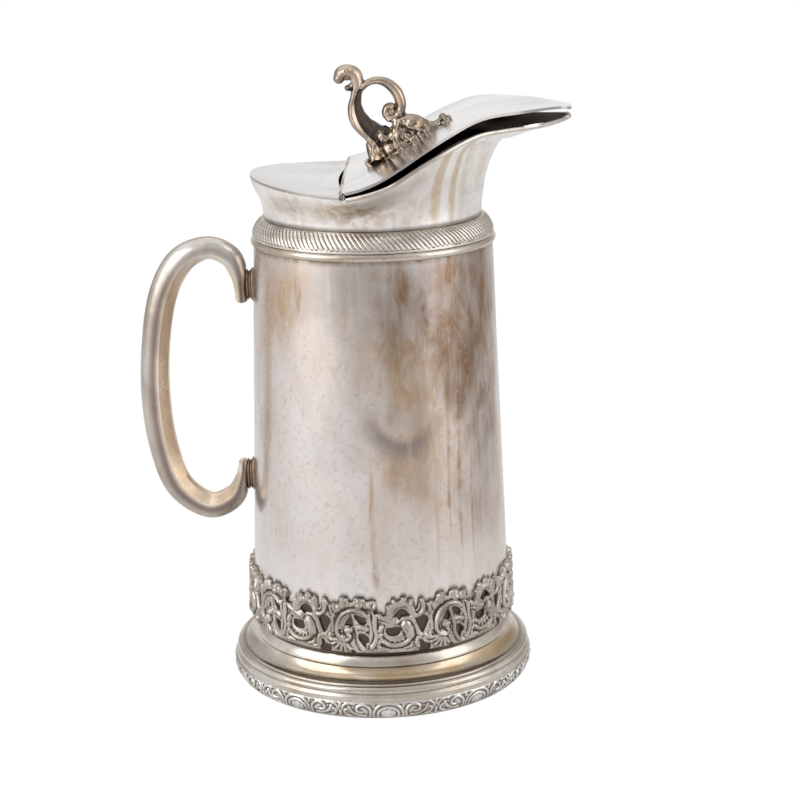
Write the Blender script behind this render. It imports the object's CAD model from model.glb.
import math

import bmesh
import bpy
import numpy as np
from mathutils import Matrix, Vector


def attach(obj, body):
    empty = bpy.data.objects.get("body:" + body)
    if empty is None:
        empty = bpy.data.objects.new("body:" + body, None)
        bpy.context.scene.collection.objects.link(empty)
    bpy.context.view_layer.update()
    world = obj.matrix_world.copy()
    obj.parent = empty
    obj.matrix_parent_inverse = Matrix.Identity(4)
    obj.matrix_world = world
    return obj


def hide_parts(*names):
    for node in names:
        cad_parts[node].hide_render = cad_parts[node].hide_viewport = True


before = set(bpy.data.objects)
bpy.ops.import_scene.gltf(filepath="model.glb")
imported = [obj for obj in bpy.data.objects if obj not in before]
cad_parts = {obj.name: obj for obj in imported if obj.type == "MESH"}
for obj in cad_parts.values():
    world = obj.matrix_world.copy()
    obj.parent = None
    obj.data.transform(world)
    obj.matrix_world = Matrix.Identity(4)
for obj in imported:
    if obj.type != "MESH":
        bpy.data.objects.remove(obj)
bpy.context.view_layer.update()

# Foot: one ring spun from sheet, silver plated, with a cove and a torus turned into it.
# It carries the whole jug, and its plate has worn to a warm, yellowish tone in the cove.
mm = 0.001


def bend(start, middle, end, steps=8):
    """Points from start to end on the arc through middle, without the last one."""
    a, b, c = (complex(*p) for p in (start, middle, end))
    w = (c - a) / (b - a)
    centre = (b - a) * (w - abs(w) ** 2) / (2j * w.imag) + a
    turn = np.angle((b - centre) / (a - centre)) + np.angle((c - centre) / (b - centre))
    arc = [centre + (a - centre) * np.exp(1j * turn * i / steps) for i in range(steps)]
    return [(p.real, p.imag) for p in arc]


def grid_faces(columns, rows, closed_columns=True, closed_rows=True):
    """Four-sided faces of a grid of points, given column by column."""
    across = columns if closed_columns else columns - 1
    along = rows if closed_rows else rows - 1
    faces = []
    for i in range(across):
        for j in range(along):
            right, above = (i + 1) % columns, (j + 1) % rows
            faces.append((i * rows + j, right * rows + j, right * rows + above, i * rows + above))
    return faces


def lathe(outline, turns=256):
    """A closed outline of (radius, height) in millimetres, turned about the jug's axis."""
    r, z = np.array(outline).T * mm
    angle = np.linspace(0, 2 * math.pi, turns, endpoint=False)[:, None]
    points = np.stack([r * np.cos(angle), r * np.sin(angle), z + 0 * angle], -1)
    return points.reshape(-1, 3), grid_faces(turns, len(outline))


def make(name, points, faces, body, slot, finish, stands_for=(), crease=40):
    """A mesh piece that rides on a body, shaded smooth except along its sharp edges."""
    mesh = bpy.data.meshes.new(name)
    mesh.from_pydata([tuple(p) for p in points], [], faces)
    form = bmesh.new()
    form.from_mesh(mesh)
    bmesh.ops.recalc_face_normals(form, faces=form.faces)
    form.to_mesh(mesh)
    form.free()
    mesh.shade_smooth()
    mesh.set_sharp_from_angle(angle=math.radians(crease))
    piece = bpy.data.objects.new(name, mesh)
    bpy.context.scene.collection.objects.link(piece)
    mesh.materials.append(finish.material)
    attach(piece, body)
    if stands_for:
        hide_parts(*stands_for)
    return piece


class Value:
    """A number or colour that changes over a surface, with the signs of arithmetic for numbers."""

    def __init__(self, recipe, socket):
        self.recipe = recipe
        self.socket = socket

    def maths(self, operation, *terms):
        return self.recipe.node("ShaderNodeMath", {"operation": operation}, dict(enumerate(terms)))

    def __add__(self, other):
        return self.maths("ADD", self, other)

    def __sub__(self, other):
        return self.maths("SUBTRACT", self, other)

    def __rsub__(self, other):
        return self.maths("SUBTRACT", other, self)

    def __mul__(self, other):
        return self.maths("MULTIPLY", self, other)

    def __truediv__(self, other):
        return self.maths("DIVIDE", self, other)

    def __pow__(self, other):
        return self.maths("POWER", self, other)

    __radd__ = __add__
    __rmul__ = __mul__


class Recipe:
    """The nodes of one material or of the sky."""

    def __init__(self, tree):
        self.tree = tree

    def put(self, socket, value):
        if isinstance(value, Value):
            self.tree.links.new(value.socket, socket)
        else:
            socket.default_value = value

    def node(self, kind, settings, sockets, output=0):
        made = self.tree.nodes.new(kind)
        for name, setting in settings.items():
            setattr(made, name, setting)
        for name, value in sockets.items():
            self.put(made.inputs[name], value)
        return Value(self, made.outputs[output])

    def place(self):
        """The point of the surface, in metres, in the jug's own frame."""
        return self.node("ShaderNodeTexCoord", {}, {}, "Object")

    def noise(self, scale, stretch=(1, 1, 1), detail=4.0, distortion=0.0, shift=(0, 0, 0)):
        """Soft noise of about scale lumps a metre, stretched along the axes."""
        spot = self.node("ShaderNodeMapping", {}, {0: self.place(), 1: shift, 3: stretch})
        sockets = {"Vector": spot, "Scale": scale, "Detail": detail, "Distortion": distortion}
        return self.node("ShaderNodeTexNoise", {}, sockets)

    def rise(self, value, low, high):
        """From 0 at low to 1 at high, eased at both ends."""
        sockets = {"Value": value, "From Min": low, "From Max": high}
        return self.node("ShaderNodeMapRange", {"interpolation_type": "SMOOTHSTEP"}, sockets)

    def blend(self, share, first, second):
        """The first colour where share is 0 and the second where it is 1."""
        return self.node("ShaderNodeMix", {"data_type": "RGBA"}, {0: share, 6: first, 7: second}, 2)

    def axis(self, name):
        """The surface point's X, Y or Z in metres."""
        return self.node("ShaderNodeSeparateXYZ", {}, {0: self.place()}, name)


class Finish(Recipe):
    """One material of the jug."""

    def __init__(self, name, **constants):
        self.material = bpy.data.materials.new(name)
        self.material.use_nodes = True
        super().__init__(self.material.node_tree)
        self.surface = self.tree.nodes["Principled BSDF"]
        self.cover(**constants)

    def cover(self, **sockets):
        """Set or link sockets of the shader, such as Base_Color."""
        for name, value in sockets.items():
            self.put(self.surface.inputs[name.replace("_", " ")], value)

    def base_colour(self):
        """The colour that the finish has so far."""
        return Value(self, self.surface.inputs["Base Color"].links[0].from_socket)

    def bump(self, height, depth, strength=1.0):
        """Small relief that is too fine to model."""
        sockets = {"Strength": strength, "Distance": depth, "Height": height}
        self.cover(Normal=self.node("ShaderNodeBump", {}, sockets))


def plated(name, bright, dull, stain, stain_share=0.35, rough=0.16, streak=0.5):
    """Polished silver plate with soft clouds, upright tarnish streaks and fine wear."""
    plate = Finish(name, Metallic=1.0)
    clouds = plate.rise(plate.noise(17, detail=5, distortion=0.6), 0.36, 0.66)
    streaks = plate.rise(plate.noise(60, stretch=(1, 1, 0.12), detail=3, shift=(3, 1, 0)), 0.5, 0.72)
    mottle = plate.noise(420, detail=6)
    speck = plate.rise(plate.noise(1500, detail=2), 0.66, 0.78)
    colour = plate.blend(clouds, bright, dull)
    colour = plate.blend(streaks * streak * plate.rise(clouds, 0.2, 0.9), colour, stain)
    colour = plate.blend(plate.rise(mottle, 0.52, 0.75) * stain_share, colour, stain)
    colour = plate.blend(speck * 0.25, colour, dull)
    plate.cover(Base_Color=colour, Roughness=rough + clouds * 0.06 + (mottle - 0.5) * 0.12)
    plate.bump(plate.noise(900, stretch=(1, 1, 0.25), detail=5), 0.00002, 0.5)
    return plate


foot_plate = plated(
    "foot_plate",
    bright=(0.66, 0.63, 0.59, 1),
    dull=(0.53, 0.48, 0.41, 1),
    stain=(0.30, 0.21, 0.13, 1),
    rough=0.19,
    streak=0.4,
)
around_foot = foot_plate.noise(9, stretch=(1, 1, 0.2), detail=3, shift=(1, 4, 0))
foot_height = foot_plate.axis("Z")
above_torus = foot_plate.rise(foot_height, 16.2 * mm, 18.0 * mm)
below_step = 1.0 - foot_plate.rise(foot_height, 21.0 * mm, 22.0 * mm)
in_cove = above_torus * below_step
foot_colour = foot_plate.base_colour()
smears = foot_plate.rise(foot_plate.noise(70, stretch=(0.4, 1, 1.6), detail=7, distortion=1.0), 0.38, 0.62)
toward_spout = foot_plate.rise(foot_plate.axis("X"), -0.066, -0.02)
cove_gold = (0.50, 0.345, 0.17, 1)
smear_brown = (0.40, 0.345, 0.28, 1)
groove_black = (0.14, 0.10, 0.07, 1)
golden_share = in_cove * toward_spout * (0.45 + smears * 0.55) * foot_plate.rise(around_foot, 0.3, 0.6)
foot_colour = foot_plate.blend(golden_share, foot_colour, cove_gold)
foot_colour = foot_plate.blend(smears * 0.35, foot_colour, smear_brown)
groove_lines = 0.0
for groove_z, groove_width in ((12.4, 0.45), (15.7, 0.3), (16.5, 0.25), (21.8, 0.35), (27.3, 0.5)):
    away = (foot_height - groove_z * mm) / (groove_width * mm)
    groove_lines = groove_lines + (1.0 - foot_plate.rise(away * away, 0.0, 1.0))
foot_colour = foot_plate.blend(groove_lines * 0.6, foot_colour, groove_black)
foot_plate.cover(Base_Color=foot_colour)
foot_outline = (
    bend((69.2, 0.0), (71.5, 3.6), (72.2, 8.9))
    + [(72.2, 8.9), (71.9, 11.0)]
    + bend((71.9, 11.0), (71.7, 11.4), (71.5, 11.6), 4)
    + bend((71.5, 11.6), (71.15, 12.1), (71.0, 12.6), 4)
    + bend((71.0, 12.6), (71.1, 14.4), (69.4, 15.5), 12)
    + bend((69.4, 15.5), (69.0, 16.15), (68.0, 16.5), 5)
    + bend((68.0, 16.5), (63.9, 18.5), (62.0, 21.7), 16)
    + [(62.0, 21.7), (62.25, 22.3)]
    + bend((62.7, 22.8), (61.8, 25.4), (60.3, 27.4), 10)
    + [(60.3, 27.4), (59.1, 27.4), (60.0, 23.0), (60.2, 20.0), (65.0, 15.0)]
    + [(69.3, 12.6), (70.5, 9.0), (69.8, 3.8), (67.4, 0.0)]
)
make("foot", *lathe(foot_outline), "jug", "foot_silver", foot_plate, ["foot_ring"])

# Border round the foot's flank: a stamped silver strip with shells and small scrolls, soldered on.
# Its hollows hold dark tarnish and its high places are rubbed bright.


def curve_through(points, steps=8):
    """A smooth line through points of any dimension, as an array."""
    p = np.array([points[0], *points, points[-1]], float)
    t = np.linspace(0, 1, steps, endpoint=False)[:, None]
    spans = []
    for a, b, c, d in zip(p, p[1:], p[2:], p[3:]):
        slope_in, slope_out = (c - a) / 2, (d - b) / 2
        spans.append(
            (2 * t**3 - 3 * t**2 + 1) * b
            + (t**3 - 2 * t**2 + t) * slope_in
            + (3 * t**2 - 2 * t**3) * c
            + (t**3 - t**2) * slope_out
        )
    return np.vstack([*spans, p[-1:]])


class Relief:
    """Chased ornament on a band: a height in millimetres for each degree round it and height up it."""

    def __init__(self, radius, low, high, step, plate=0.0):
        self.degree = radius * math.pi / 180
        self.columns = int(360 * self.degree / step)
        self.across = np.arange(self.columns) * 360 / self.columns
        self.up = np.linspace(low, high, int((high - low) / step) + 1)
        self.height = np.full((self.columns, len(self.up)), plate)
        self.solid = np.full((self.columns, len(self.up)), 9.0)

    def beside(self, at, reach):
        """Columns within reach degrees of one place, and their degrees from it."""
        side = (self.across - at + 180) % 360 - 180
        near = np.nonzero(np.abs(side) < reach)[0]
        return near, side[near]

    def raise_line(self, at, points, width, top, mirror=False):
        """Raise a rounded ridge along points, given in degrees from at and in millimetres up."""
        line = curve_through(points, 6)
        sign = -1 if mirror else 1
        near, side = self.beside(at, np.abs(line[:, 0]).max() + width / self.degree + 1)
        u = side[:, None, None] - sign * line[:, 0]
        v = self.up[None, :, None] - line[:, 1]
        gap = np.sqrt((u * self.degree) ** 2 + v**2).min(-1)
        ridge = top * np.sqrt(np.clip(1 - (gap / width) ** 2, 0, 1))
        self.height[near] = np.maximum(self.height[near], ridge)

    def pierce(self, at, rim, kept=0.0):
        """Mark an opening. Its rim is given in degrees from at and in millimetres up, less a kept margin."""
        near, side = self.beside(at, np.abs(rim[:, 0]).max() + 1.5)
        u = (side * self.degree)[:, None] + 0 * self.up
        v = self.up + 0 * u
        x, y = rim[:, 0] * self.degree, rim[:, 1]
        gap = np.full(u.shape, 9.0)
        inside = np.zeros(u.shape, bool)
        for x0, y0, x1, y1 in zip(x, y, x[1:], y[1:]):
            run, rise = x1 - x0, y1 - y0
            share = np.clip(((u - x0) * run + (v - y0) * rise) / (run**2 + rise**2 + 1e-9), 0, 1)
            gap = np.minimum(gap, np.hypot(u - x0 - share * run, v - y0 - share * rise))
            if y0 != y1:
                inside ^= ((y0 > v) != (y1 > v)) & (u < x0 + (v - y0) * run / rise)
        self.solid[near] = np.minimum(self.solid[near], np.where(inside, -gap, gap) + kept)

    def soften(self, passes=1):
        """Round the relief off a little, as casting and polishing do."""
        for _ in range(passes):
            h = self.height
            h = (np.roll(h, 1, 0) + 2 * h + np.roll(h, -1, 0)) / 4
            padded = np.pad(h, ((0, 0), (1, 1)), mode="edge")
            self.height = (padded[:, :-2] + 2 * padded[:, 1:-1] + padded[:, 2:]) / 4


def ring_points(degrees, radius, z):
    """Points at degrees from the front, -Y, towards the spout, +X."""
    a = np.radians(degrees)
    radius, z = radius + 0 * a, z + 0 * a
    return np.stack([radius * np.sin(a), -radius * np.cos(a), z], -1).reshape(-1, 3) * mm


def mark_hollows(piece, reach=3, scale=1.0):
    """Store how deep each point lies below its surroundings, 0 on high places and 1 in hollows."""
    mesh = piece.data
    count = len(mesh.vertices)
    points = np.zeros(count * 3)
    mesh.vertices.foreach_get("co", points)
    points = points.reshape(-1, 3)
    normals = np.zeros(count * 3)
    mesh.vertices.foreach_get("normal", normals)
    edges = np.zeros(len(mesh.edges) * 2, int)
    mesh.edges.foreach_get("vertices", edges)
    a, b = edges.reshape(-1, 2).T
    number = np.bincount(np.concatenate([a, b]), minlength=count).clip(1)[:, None]
    smooth = points.copy()
    for _ in range(reach):
        total = np.zeros_like(smooth)
        np.add.at(total, a, smooth[b])
        np.add.at(total, b, smooth[a])
        smooth = total / number
    depth = ((smooth - points) * normals.reshape(-1, 3)).sum(1)
    value = np.clip(0.5 + depth / (0.1 * mm) * scale, 0, 1)
    mesh.attributes.new("hollow", "FLOAT", "POINT").data.foreach_set("value", value.astype(np.float32))


def chased(name, bright, dull, dark, rough=0.3, grip=(0.45, 0.95)):
    """Silver ornament with dark tarnish in its hollows and bright rubbed ridges."""
    plate = Finish(name, Metallic=1.0)
    hollow = plate.node("ShaderNodeAttribute", {"attribute_name": "hollow"}, {}, "Fac")
    clouds = plate.rise(plate.noise(70, detail=5), 0.35, 0.68)
    grain = plate.noise(1100, detail=5)
    deep = plate.rise(hollow + (grain - 0.5) * 0.25, *grip)
    colour = plate.blend(clouds, bright, dull)
    colour = plate.blend(deep, colour, dark)
    plate.cover(Base_Color=colour, Roughness=rough + deep * 0.25 + (grain - 0.5) * 0.2)
    plate.bump(grain, 0.00005, 0.6)
    return plate


border_plate = chased(
    "border_plate",
    bright=(0.78, 0.77, 0.755, 1),
    dull=(0.52, 0.485, 0.445, 1),
    dark=(0.22, 0.185, 0.155, 1),
    rough=0.3,
)
border = Relief(73, 0.6, 8.9, 0.3)
border_repeats = 10
first_shell = 3.0
shell_fan = 5
shell_lines = [
    ([(0, 2.4), (0, 3.4)], 3.4, 0.5),
    ([(-5.6, 1.5), (-5.1, 5.0), (-3.1, 7.6), (0, 8.3), (3.1, 7.6), (5.1, 5.0), (5.6, 1.5)], 0.62, 0.95),
    ([(-3.9, 1.6), (-3.4, 4.6), (0, 6.7), (3.4, 4.6), (3.9, 1.6)], 0.45, 0.8),
]
scroll_lines = [
    ([(-11.2, 1.8), (-11.3, 5.2), (-9.2, 7.7), (-6.6, 6.9), (-6.3, 4.6), (-8.0, 3.7)], 0.65, 0.95),
    ([(-9.5, 2.0), (-7.0, 2.3), (-4.6, 3.8), (-3.4, 6.4)], 0.55, 0.85),
    ([(-5.2, 7.9), (-3.6, 8.3), (-1.4, 7.2), (-0.7, 5.2)], 0.55, 0.85),
    ([(-4.0, 1.4), (-2.1, 2.6), (-1.6, 4.6), (-2.8, 5.2)], 0.5, 0.85),
    ([(-12.6, 6.9), (-12.2, 8.3)], 0.5, 0.75),
]
for i in range(border_repeats):
    shell = first_shell + i * 360 / border_repeats
    middle = shell + 180 / border_repeats
    for line, width, top in shell_lines:
        border.raise_line(shell, line, width, top)
    for k in range(shell_fan):
        lean = (k - (shell_fan - 1) / 2) * 1.1
        border.raise_line(shell, [(0.3 * lean, 1.6), (lean, 4.9 - 0.35 * lean**2)], 0.45, 0.75)
    for line, width, top in scroll_lines:
        border.raise_line(middle, line, width, top)
        border.raise_line(middle, line, width, top, mirror=True)
    border.raise_line(middle, [(0, 1.5), (0, 4.0)], 0.6, 0.85)
    border.raise_line(middle, [(0, 6.6), (0, 8.1)], 0.65, 0.95)
for edge_z, edge_top, edge_width in ((1.0, 0.75, 0.45), (8.6, 0.55, 0.3)):
    edge_bead = edge_top * np.exp(-(((border.up - edge_z) / edge_width) ** 2))
    border.height = np.maximum(border.height, edge_bead)
round_foot = border.across[:, None]
worn = np.sin(round_foot * 1.9 + border.up * 2.6) * np.sin(round_foot * 0.83 - border.up * 3.7)
wear_depth, least_raised = 0.1, 0.2
border.height += wear_depth * worn * (border.height > least_raised)
border.soften(2)
flank = np.interp(border.up, [0.5, 2.2, 4.0, 6.5, 8.9], [69.6, 71.0, 71.85, 72.25, 72.2])
face_radius = flank + border.height
strip_sheet = 0.6
behind = np.tile([flank[-1] - strip_sheet, flank[0] - strip_sheet], (border.columns, 1))
strip = make(
    "border_strip",
    ring_points(
        border.across[:, None],
        np.hstack([face_radius, behind]),
        np.append(border.up, [border.up[-1], border.up[0]]),
    ),
    grid_faces(border.columns, len(border.up) + 2),
    "jug",
    "foot_silver",
    border_plate,
    ["foot_border"],
    crease=80,
)
mark_hollows(strip, scale=0.9)

# Closing plate under the foot, with its soldered ledge and three countersunk screws.
# Plain sheet, dull from standing on tables.
under_plate = plated(
    "under_plate",
    bright=(0.60, 0.57, 0.52, 1),
    dull=(0.46, 0.42, 0.36, 1),
    stain=(0.28, 0.21, 0.14, 1),
    rough=0.34,
)
screw_steel = Finish("screw_steel", Metallic=1.0)
turning = screw_steel.noise(2400, stretch=(1, 1, 0.2), detail=3)
screw_steel.cover(
    Base_Color=screw_steel.blend(turning, (0.50, 0.49, 0.47, 1), (0.36, 0.33, 0.30, 1)),
    Roughness=0.28 + turning * 0.2,
)


def dress(node, finish):
    """Give a solid of the frame its finish."""
    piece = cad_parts[node]
    piece.data.materials.clear()
    piece.data.materials.append(finish.material)


dress("base_plate", under_plate)
dress("base_ledge", under_plate)
dress("base_screws", screw_steel)

# Body: a tapered tube of sheet with a rounded shoulder, plated, and rubbed soft by long use.
# Handling left broad brown and mauve clouds, drips and soft dents, and a dark line at each joint.
body_foot_z, body_foot_radius = 31.0, 62.4
body_top_z, body_top_radius = 211.6, 56.0
body_slope = (body_foot_radius - body_top_radius) / (body_top_z - body_foot_z)


def body_radius_at(z):
    """Radius of the tapered tube at a height, or at an array of heights."""
    return body_foot_radius - body_slope * (z - body_foot_z)


tube_rows = np.linspace(body_foot_z, body_top_z, 150, endpoint=False)
shoulder_arc = ((body_top_radius, body_top_z), (54.7, 218.8), (50.6, 224.2))
body_outline = (
    bend((60.6, 27.6), (61.9, 28.7), (body_foot_radius, body_foot_z), 6)
    + [(body_radius_at(z), z) for z in tube_rows]
    + bend(*shoulder_arc, 10)
    + [shoulder_arc[-1], (48.0, 224.2), (47.6, 223.2), (54.4, 211.6), (61.0, 31.0), (59.4, 27.6)]
)
points, faces = lathe(body_outline, turns=600)
angle = np.arctan2(points[:, 0], -points[:, 1])
height = points[:, 2] / mm
waves = ((0.05, 3, 0.035, 0.6), (0.035, 7, -0.05, 2.1), (0.02, 16, 0.11, 0.0), (0.012, 29, -0.17, 1.0))
dents = sum(depth * np.sin(lobes * angle + lean * height + start) for depth, lobes, lean, start in waves)
true_below, true_above = 60, 205
dents *= np.clip((height - true_below) / 20, 0, 1) * np.clip((true_above - height) / 15, 0, 1)
points[:, :2] *= (1 + dents * mm / np.hypot(points[:, 0], points[:, 1]))[:, None]

body_plate = Finish("body_plate", Metallic=1.0)


class Tarnish:
    """Stains on an upright surface, placed in degrees from the front and millimetres up."""

    def __init__(self, finish, wander):
        self.finish = finish
        across = {0: finish.axis("X"), 1: finish.axis("Y") * -1.0}
        self.around = finish.node("ShaderNodeMath", {"operation": "ARCTAN2"}, across)
        self.up = finish.axis("Z")
        self.wander = finish.noise(24, detail=5, distortion=0.8, shift=(2, 0, 1)) - 0.5
        self.around = self.around + self.wander * wander
        self.up = self.up + self.wander * wander * 0.06

    def patch(self, at, z, half_width, half_height):
        """An oval patch, 1 at its middle and 0 at its edge."""
        u = (self.around - math.radians(at)) / math.radians(half_width)
        v = (self.up - z * mm) / (half_height * mm)
        return 1.0 - self.finish.rise(u * u + v * v, 0.0, 1.0)

    def stain(self, colour, patches, tone, through=1.0):
        """The colour with patches of one tone laid over it. Each patch ends with its strength."""
        for *spot, strength in patches:
            colour = self.finish.blend(self.patch(*spot) * strength * through, colour, tone)
        return colour


marks = Tarnish(body_plate, 0.6)
drips = Tarnish(body_plate, 0.05)
wide = body_plate.rise(body_plate.noise(20, stretch=(1, 1, 0.45), detail=6, distortion=0.7), 0.36, 0.66)
cloudy = body_plate.rise(body_plate.noise(55, stretch=(1, 1, 0.55), detail=8, distortion=1.2), 0.38, 0.64)
rubbed = body_plate.rise(
    body_plate.noise(130, stretch=(1, 1, 0.4), detail=8, distortion=1.5, shift=(4, 2, 0)), 0.4, 0.66,
)
upright = body_plate.rise(body_plate.noise(95, stretch=(1, 1, 0.06), detail=4), 0.44, 0.7)
grain = body_plate.noise(420, detail=8)
scratched = body_plate.rise(body_plate.noise(240, stretch=(1, 1, 0.04), detail=2, shift=(5, 5, 0)), 0.6, 0.7)
clean = (0.665, 0.63, 0.62, 1)
warm = (0.57, 0.465, 0.38, 1)
colour = body_plate.blend(wide * 0.4 + cloudy * 0.25, clean, warm)
golden = (0.47, 0.30, 0.16, 1)
brown = (0.195, 0.12, 0.072, 1)
mauve = (0.375, 0.345, 0.325, 1)
violet = (0.225, 0.185, 0.175, 1)
rust = (0.25, 0.125, 0.055, 1)
speckle_brown = (0.38, 0.285, 0.22, 1)
scratch_white = (0.85, 0.83, 0.80, 1)
hairline_pale = (0.80, 0.77, 0.74, 1)
rubbed_pale = (0.80, 0.78, 0.77, 1)
corner_black = (0.085, 0.070, 0.060, 1)
joint_brown = (0.16, 0.115, 0.085, 1)
colour = marks.stain(
    colour,
    [(2, 196, 46, 30, 0.6), (4, 156, 24, 34, 0.35), (-22, 200, 22, 22, 0.5), (-14, 132, 18, 26, 0.3)],
    mauve,
    0.6 + cloudy * 0.4,
)
colour = marks.stain(
    colour,
    [
        (-44, 192, 16, 24, 0.75), (12, 156, 24, 26, 0.7), (-30, 160, 20, 30, 0.2),
        (26, 116, 24, 28, 0.4), (48, 176, 30, 40, 0.5), (8, 176, 16, 16, 0.45), (15, 138, 28, 34, 0.4),
    ],
    golden,
    0.35 + rubbed * 0.65,
)
brown_clouds = [
    (52, 192, 36, 42, 1.0), (52, 150, 30, 48, 1.0), (36, 158, 14, 34, 0.6), (58, 108, 26, 40, 0.5),
    (14, 192, 20, 20, 0.6), (11, 172, 12, 22, 0.5),
]
colour = marks.stain(colour, brown_clouds, brown, 0.45 + cloudy * 0.3 + rubbed * 0.25)
colour = body_plate.blend(upright * marks.patch(38, 160, 50, 90) * 0.45, colour, brown)
blur_at, blur_half_width = math.radians(13), math.radians(15)
blur_z, blur_half_height = 143 * mm, 17 * mm
blur_u = (drips.around + marks.wander * 0.05 - blur_at) / blur_half_width
blur_v = (drips.up - blur_z) / blur_half_height
blur_reach = (blur_u * blur_u + blur_v * blur_v) ** 0.5
crescent = body_plate.rise(blur_reach, 0.68, 0.94) * (1.0 - body_plate.rise(blur_reach, 0.96, 1.5))
crescent = crescent * (1.0 - body_plate.rise(blur_v, -0.8, 0.3))
crescent = crescent * (1.0 - body_plate.rise(blur_u, 0.2, 1.1) * 0.5)
colour = body_plate.blend(crescent * 0.75, colour, violet)
drip_places = [
    (-2, 92, 1.6, 38, 0.75, golden),
    (-1, 68, 2.2, 12, 0.6, rust),
    (27, 92, 1.2, 40, 0.5, golden),
    (40, 112, 1.6, 56, 0.6, rust),
    (47, 95, 1.0, 40, 0.5, rust),
    (53, 120, 1.4, 50, 0.4, rust),
    (34, 118, 1.3, 44, 0.7, rust),
    (14, 198, 4.5, 16, 0.9, rust),
    (23, 182, 4.5, 20, 0.75, rust),
    (32, 190, 2.5, 26, 0.45, rust),
    (-36, 196, 2.5, 12, 0.6, rust),
    (-13, 190, 2.5, 16, 0.35, golden),
    (62, 190, 5, 34, 0.8, rust),
    (8, 206, 14, 5, 0.5, rust),
    (40, 204, 16, 8, 0.6, rust),
]
for *spot, strength, tone in drip_places:
    colour = body_plate.blend(drips.patch(*spot) * strength * (0.35 + rubbed * 0.65), colour, tone)
colour = body_plate.blend(body_plate.rise(grain, 0.5, 0.74) * 0.34, colour, speckle_brown)
colour = body_plate.blend(scratched * 0.1, colour, scratch_white)
hairlines = body_plate.noise(90, stretch=(1, 1, 0.3), detail=9, distortion=3.0, shift=(9, 1, 3)) - 0.5
hairlines = 1.0 - body_plate.rise(hairlines * hairlines, 0.0, 0.00012)
colour = body_plate.blend(hairlines * 0.12, colour, hairline_pale)
pale_foot = (1.0 - body_plate.rise(body_plate.axis("Z"), 58 * mm, 84 * mm)) * (1.0 - rubbed * 0.5)
colour = body_plate.blend(pale_foot * 0.45, colour, rubbed_pale)
round_band = body_plate.node("ShaderNodeAttribute", {"attribute_name": "beside_band"}, {}, "Fac")
colour = body_plate.blend(round_band, colour, corner_black)
under_ring = body_plate.rise(body_plate.axis("Z"), 208.6 * mm, body_top_z * mm)
colour = body_plate.blend(under_ring * (0.35 + rubbed * 0.5), colour, joint_brown)
body_plate.cover(Base_Color=colour, Roughness=0.22 + cloudy * 0.06 + wide * 0.04 + (grain - 0.5) * 0.12)
body_plate.bump(body_plate.noise(1300, stretch=(1, 1, 0.3), detail=5), 0.00002, 0.4)
body = make("body", points, faces, "jug", "silver_plate", body_plate, ["body_shell"])

# Openwork band round the bottom of the body: cast silver scrolls and shells, pierced and soldered on.
# Large C-scrolls take turns with small hooked scrolls, and black tarnish fills the openings.
band_plate = chased(
    "band_plate",
    bright=(0.53, 0.49, 0.445, 1),
    dull=(0.37, 0.33, 0.285, 1),
    dark=(0.085, 0.068, 0.055, 1),
    rough=0.32,
    grip=(0.48, 0.94),
)
large_top = [
    (-10.6, 52.4), (-9.8, 52.6), (-8.6, 53.2), (-7.4, 52.9), (-6.6, 53.2), (-6, 55.2), (-4.8, 56.3),
    (-3, 56.2), (-1.9, 55.8), (-1.5, 54.4), (-0.2, 54.3), (0.5, 55.6), (1.6, 56.3), (4, 56.3),
    (5, 55.8), (5.6, 54.9), (6.7, 54.8), (7.8, 55.3), (9.2, 55), (10.4, 54), (10.7, 53), (10, 51.3),
    (8.9, 49.7), (9.1, 49.3), (10.6, 49),
]
large_openings = [
    [(-4, 42), (-2.5, 42.8), (0, 42.4), (0.2, 44), (-0.5, 47), (-1.5, 47), (-3, 44.7)],
    [(0.7, 48.3), (3, 48), (5, 46.5), (6, 44.5), (5.2, 43.4), (2.5, 44.2), (1.6, 45.7)],
    [(2.7, 39), (5, 38.8), (6.7, 37.3), (6.8, 35.5), (5.7, 34), (5.6, 32), (4.6, 33), (3, 35.8), (2.4, 37.5)],
    [(-1, 28.8), (-0.8, 31), (0.2, 31.3), (1.2, 30.6), (1.5, 28.8)],
]
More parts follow.
